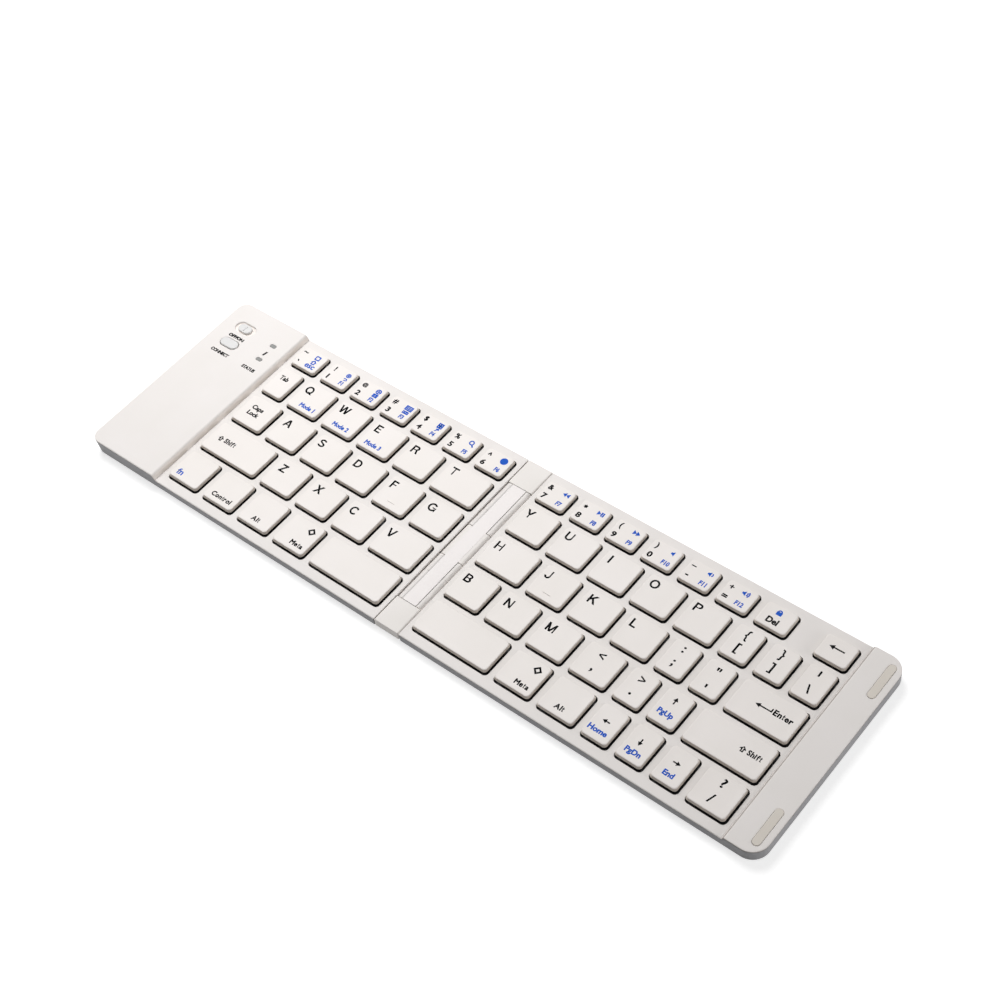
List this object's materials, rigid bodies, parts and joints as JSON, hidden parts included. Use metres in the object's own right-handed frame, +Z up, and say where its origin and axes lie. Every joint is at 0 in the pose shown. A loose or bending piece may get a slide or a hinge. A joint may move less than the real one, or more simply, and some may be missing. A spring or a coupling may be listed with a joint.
{
  "type": "folding keyboard",
  "caption": "Pocket keyboard in two halves that fold face to face over a narrow double-hinged spine, with low keys, a raised end with a slide switch, a round-ended button and status lights.",
  "frame": {"origin": "on the resting plane, under the middle of the spine and halfway between the front and the back", "axes": "+X along the open keyboard towards the half without controls, +Y from the front edge to the number row, +Z up out of the key tops"},
  "size_m": [0.2854, 0.0816, 0.0065],
  "materials": {
    "white_case": "satin",
    "grey_case": "satin",
    "spine_bar": "satin",
    "key_plastic": "fine matt",
    "control_plastic": "satin",
    "light_window": "smooth, smoked",
    "pad_silicone": "matt",
    "foot_rubber": "matt",
    "plate_steel": "plain",
    "membrane_film": "smooth film",
    "dome_rubber": "matt",
    "frame_plastic": "natural",
    "pin_steel": "polished",
    "board": "lacquered",
    "battery_foil": "foil",
    "socket_steel": "plated",
    "flex_film": "smooth film",
    "legend_black": "printed ink",
    "legend_blue": "printed ink"
  },
  "bodies": {
    "left_half": {"left_top_case": "white_case", "left_bottom_case": "grey_case", "left_key_plate": "plate_steel", "left_membrane": "membrane_film", "left_rubber_domes": "dome_rubber", "left_scissor_frames": "frame_plastic", "circuit_board": "board", "battery": "battery_foil", "charging_socket": "socket_steel", "status_lights": "light_window", "left_feet": "foot_rubber", "left_screws": "pin_steel"},
    "spine": {"spine": "white_case", "spine_bar": "spine_bar", "left_hinge_pin": "pin_steel", "right_hinge_pin": "pin_steel", "flex_cable": "flex_film"},
    "right_half": {"right_top_case": "white_case", "right_bottom_case": "grey_case", "right_key_plate": "plate_steel", "right_membrane": "membrane_film", "right_rubber_domes": "dome_rubber", "right_scissor_frames": "frame_plastic", "bumper_pads": "pad_silicone", "right_feet": "foot_rubber", "right_screws": "pin_steel"},
    "power_slider": {"power_slider": "control_plastic"},
    "connect_button": {"connect_button": "control_plastic"},
    "left_number_keys": {"left_number_keys": "key_plastic"},
    "left_side_keys": {"left_side_keys": "key_plastic"},
    "right_number_keys": {"right_number_keys": "key_plastic"},
    "right_side_keys": {"right_side_keys": "key_plastic"},
    "key_q": {"key_q": "key_plastic"},
    "key_w": {"key_w": "key_plastic"},
    "key_e": {"key_e": "key_plastic"},
    "key_r": {"key_r": "key_plastic"},
    "key_t": {"key_t": "key_plastic"},
    "key_a": {"key_a": "key_plastic"},
    "key_s": {"key_s": "key_plastic"},
    "key_d": {"key_d": "key_plastic"},
    "key_f": {"key_f": "key_plastic"},
    "key_g": {"key_g": "key_plastic"},
    "key_z": {"key_z": "key_plastic"},
    "key_x": {"key_x": "key_plastic"},
    "key_c": {"key_c": "key_plastic"},
    "key_v": {"key_v": "key_plastic"},
    "key_left_space": {"key_left_space": "key_plastic"},
    "key_y": {"key_y": "key_plastic"},
    "key_u": {"key_u": "key_plastic"},
    "key_i": {"key_i": "key_plastic"},
    "key_o": {"key_o": "key_plastic"},
    "key_p": {"key_p": "key_plastic"},
    "key_h": {"key_h": "key_plastic"},
    "key_j": {"key_j": "key_plastic"},
    "key_k": {"key_k": "key_plastic"},
    "key_l": {"key_l": "key_plastic"},
    "key_b": {"key_b": "key_plastic"},
    "key_n": {"key_n": "key_plastic"},
    "key_m": {"key_m": "key_plastic"},
    "key_right_space": {"key_right_space": "key_plastic"}
  },
  "joints": [
    {"name": "left_hinge", "type": "hinge", "parent": "left_half", "child": "spine", "pos_m": [-0.0036, 0, 0.0023], "axis": [0, -1, 0], "range_deg": [0, 90]},
    {"name": "right_hinge", "type": "hinge", "parent": "spine", "child": "right_half", "pos_m": [0.0036, 0, 0.0023], "axis": [0, -1, 0], "range_deg": [0, 90]},
    {"name": "power_slide", "type": "slide", "parent": "left_half", "child": "power_slider", "axis": [1, 0, 0], "range_m": [0, 0.0016]},
    {"name": "connect_press", "type": "slide", "parent": "left_half", "child": "connect_button", "axis": [0, 0, 1], "range_m": [-0.0004, 0], "stiffness_N_per_m": 800, "springref_m": 0.0002},
    {"name": "left_number_keys_press", "type": "slide", "parent": "left_half", "child": "left_number_keys", "axis": [0, 0, 1], "range_m": [-0.0012, 0], "stiffness_N_per_m": 300, "springref_m": 0.0004, "deforming": ["left_rubber_domes", "left_scissor_frames"]},
    {"name": "left_side_keys_press", "type": "slide", "parent": "left_half", "child": "left_side_keys", "axis": [0, 0, 1], "range_m": [-0.0012, 0], "stiffness_N_per_m": 300, "springref_m": 0.0004, "deforming": ["left_rubber_domes", "left_scissor_frames"]},
    {"name": "right_number_keys_press", "type": "slide", "parent": "right_half", "child": "right_number_keys", "axis": [0, 0, 1], "range_m": [-0.0012, 0], "stiffness_N_per_m": 300, "springref_m": 0.0004, "deforming": ["right_rubber_domes", "right_scissor_frames"]},
    {"name": "right_side_keys_press", "type": "slide", "parent": "right_half", "child": "right_side_keys", "axis": [0, 0, 1], "range_m": [-0.0012, 0], "stiffness_N_per_m": 300, "springref_m": 0.0004, "deforming": ["right_rubber_domes", "right_scissor_frames"]},
    {"name": "key_q_press", "type": "slide", "parent": "left_half", "child": "key_q", "axis": [0, 0, 1], "range_m": [-0.0012, 0], "stiffness_N_per_m": 300, "springref_m": 0.0004, "deforming": ["left_rubber_domes", "left_scissor_frames"]},
    {"name": "key_w_press", "type": "slide", "parent": "left_half", "child": "key_w", "axis": [0, 0, 1], "range_m": [-0.0012, 0], "stiffness_N_per_m": 300, "springref_m": 0.0004, "deforming": ["left_rubber_domes", "left_scissor_frames"]},
    {"name": "key_e_press", "type": "slide", "parent": "left_half", "child": "key_e", "axis": [0, 0, 1], "range_m": [-0.0012, 0], "stiffness_N_per_m": 300, "springref_m": 0.0004, "deforming": ["left_rubber_domes", "left_scissor_frames"]},
    {"name": "key_r_press", "type": "slide", "parent": "left_half", "child": "key_r", "axis": [0, 0, 1], "range_m": [-0.0012, 0], "stiffness_N_per_m": 300, "springref_m": 0.0004, "deforming": ["left_rubber_domes", "left_scissor_frames"]},
    {"name": "key_t_press", "type": "slide", "parent": "left_half", "child": "key_t", "axis": [0, 0, 1], "range_m": [-0.0012, 0], "stiffness_N_per_m": 300, "springref_m": 0.0004, "deforming": ["left_rubber_domes", "left_scissor_frames"]},
    {"name": "key_a_press", "type": "slide", "parent": "left_half", "child": "key_a", "axis": [0, 0, 1], "range_m": [-0.0012, 0], "stiffness_N_per_m": 300, "springref_m": 0.0004, "deforming": ["left_rubber_domes", "left_scissor_frames"]},
    {"name": "key_s_press", "type": "slide", "parent": "left_half", "child": "key_s", "axis": [0, 0, 1], "range_m": [-0.0012, 0], "stiffness_N_per_m": 300, "springref_m": 0.0004, "deforming": ["left_rubber_domes", "left_scissor_frames"]},
    {"name": "key_d_press", "type": "slide", "parent": "left_half", "child": "key_d", "axis": [0, 0, 1], "range_m": [-0.0012, 0], "stiffness_N_per_m": 300, "springref_m": 0.0004, "deforming": ["left_rubber_domes", "left_scissor_frames"]},
    {"name": "key_f_press", "type": "slide", "parent": "left_half", "child": "key_f", "axis": [0, 0, 1], "range_m": [-0.0012, 0], "stiffness_N_per_m": 300, "springref_m": 0.0004, "deforming": ["left_rubber_domes", "left_scissor_frames"]},
    {"name": "key_g_press", "type": "slide", "parent": "left_half", "child": "key_g", "axis": [0, 0, 1], "range_m": [-0.0012, 0], "stiffness_N_per_m": 300, "springref_m": 0.0004, "deforming": ["left_rubber_domes", "left_scissor_frames"]},
    {"name": "key_z_press", "type": "slide", "parent": "left_half", "child": "key_z", "axis": [0, 0, 1], "range_m": [-0.0012, 0], "stiffness_N_per_m": 300, "springref_m": 0.0004, "deforming": ["left_rubber_domes", "left_scissor_frames"]},
    {"name": "key_x_press", "type": "slide", "parent": "left_half", "child": "key_x", "axis": [0, 0, 1], "range_m": [-0.0012, 0], "stiffness_N_per_m": 300, "springref_m": 0.0004, "deforming": ["left_rubber_domes", "left_scissor_frames"]},
    {"name": "key_c_press", "type": "slide", "parent": "left_half", "child": "key_c", "axis": [0, 0, 1], "range_m": [-0.0012, 0], "stiffness_N_per_m": 300, "springref_m": 0.0004, "deforming": ["left_rubber_domes", "left_scissor_frames"]},
    {"name": "key_v_press", "type": "slide", "parent": "left_half", "child": "key_v", "axis": [0, 0, 1], "range_m": [-0.0012, 0], "stiffness_N_per_m": 300, "springref_m": 0.0004, "deforming": ["left_rubber_domes", "left_scissor_frames"]},
    {"name": "key_left_space_press", "type": "slide", "parent": "left_half", "child": "key_left_space", "axis": [0, 0, 1], "range_m": [-0.0012, 0], "stiffness_N_per_m": 300, "springref_m": 0.0004, "deforming": ["left_rubber_domes", "left_scissor_frames"]},
    {"name": "key_y_press", "type": "slide", "parent": "right_half", "child": "key_y", "axis": [0, 0, 1], "range_m": [-0.0012, 0], "stiffness_N_per_m": 300, "springref_m": 0.0004, "deforming": ["right_rubber_domes", "right_scissor_frames"]},
    {"name": "key_u_press", "type": "slide", "parent": "right_half", "child": "key_u", "axis": [0, 0, 1], "range_m": [-0.0012, 0], "stiffness_N_per_m": 300, "springref_m": 0.0004, "deforming": ["right_rubber_domes", "right_scissor_frames"]},
    {"name": "key_i_press", "type": "slide", "parent": "right_half", "child": "key_i", "axis": [0, 0, 1], "range_m": [-0.0012, 0], "stiffness_N_per_m": 300, "springref_m": 0.0004, "deforming": ["right_rubber_domes", "right_scissor_frames"]},
    {"name": "key_o_press", "type": "slide", "parent": "right_half", "child": "key_o", "axis": [0, 0, 1], "range_m": [-0.0012, 0], "stiffness_N_per_m": 300, "springref_m": 0.0004, "deforming": ["right_rubber_domes", "right_scissor_frames"]},
    {"name": "key_p_press", "type": "slide", "parent": "right_half", "child": "key_p", "axis": [0, 0, 1], "range_m": [-0.0012, 0], "stiffness_N_per_m": 300, "springref_m": 0.0004, "deforming": ["right_rubber_domes", "right_scissor_frames"]},
    {"name": "key_h_press", "type": "slide", "parent": "right_half", "child": "key_h", "axis": [0, 0, 1], "range_m": [-0.0012, 0], "stiffness_N_per_m": 300, "springref_m": 0.0004, "deforming": ["right_rubber_domes", "right_scissor_frames"]},
    {"name": "key_j_press", "type": "slide", "parent": "right_half", "child": "key_j", "axis": [0, 0, 1], "range_m": [-0.0012, 0], "stiffness_N_per_m": 300, "springref_m": 0.0004, "deforming": ["right_rubber_domes", "right_scissor_frames"]},
    {"name": "key_k_press", "type": "slide", "parent": "right_half", "child": "key_k", "axis": [0, 0, 1], "range_m": [-0.0012, 0], "stiffness_N_per_m": 300, "springref_m": 0.0004, "deforming": ["right_rubber_domes", "right_scissor_frames"]},
    {"name": "key_l_press", "type": "slide", "parent": "right_half", "child": "key_l", "axis": [0, 0, 1], "range_m": [-0.0012, 0], "stiffness_N_per_m": 300, "springref_m": 0.0004, "deforming": ["right_rubber_domes", "right_scissor_frames"]},
    {"name": "key_b_press", "type": "slide", "parent": "right_half", "child": "key_b", "axis": [0, 0, 1], "range_m": [-0.0012, 0], "stiffness_N_per_m": 300, "springref_m": 0.0004, "deforming": ["right_rubber_domes", "right_scissor_frames"]},
    {"name": "key_n_press", "type": "slide", "parent": "right_half", "child": "key_n", "axis": [0, 0, 1], "range_m": [-0.0012, 0], "stiffness_N_per_m": 300, "springref_m": 0.0004, "deforming": ["right_rubber_domes", "right_scissor_frames"]},
    {"name": "key_m_press", "type": "slide", "parent": "right_half", "child": "key_m", "axis": [0, 0, 1], "range_m": [-0.0012, 0], "stiffness_N_per_m": 300, "springref_m": 0.0004, "deforming": ["right_rubber_domes", "right_scissor_frames"]},
    {"name": "key_right_space_press", "type": "slide", "parent": "right_half", "child": "key_right_space", "axis": [0, 0, 1], "range_m": [-0.0012, 0], "stiffness_N_per_m": 300, "springref_m": 0.0004, "deforming": ["right_rubber_domes", "right_scissor_frames"]}
  ]
}
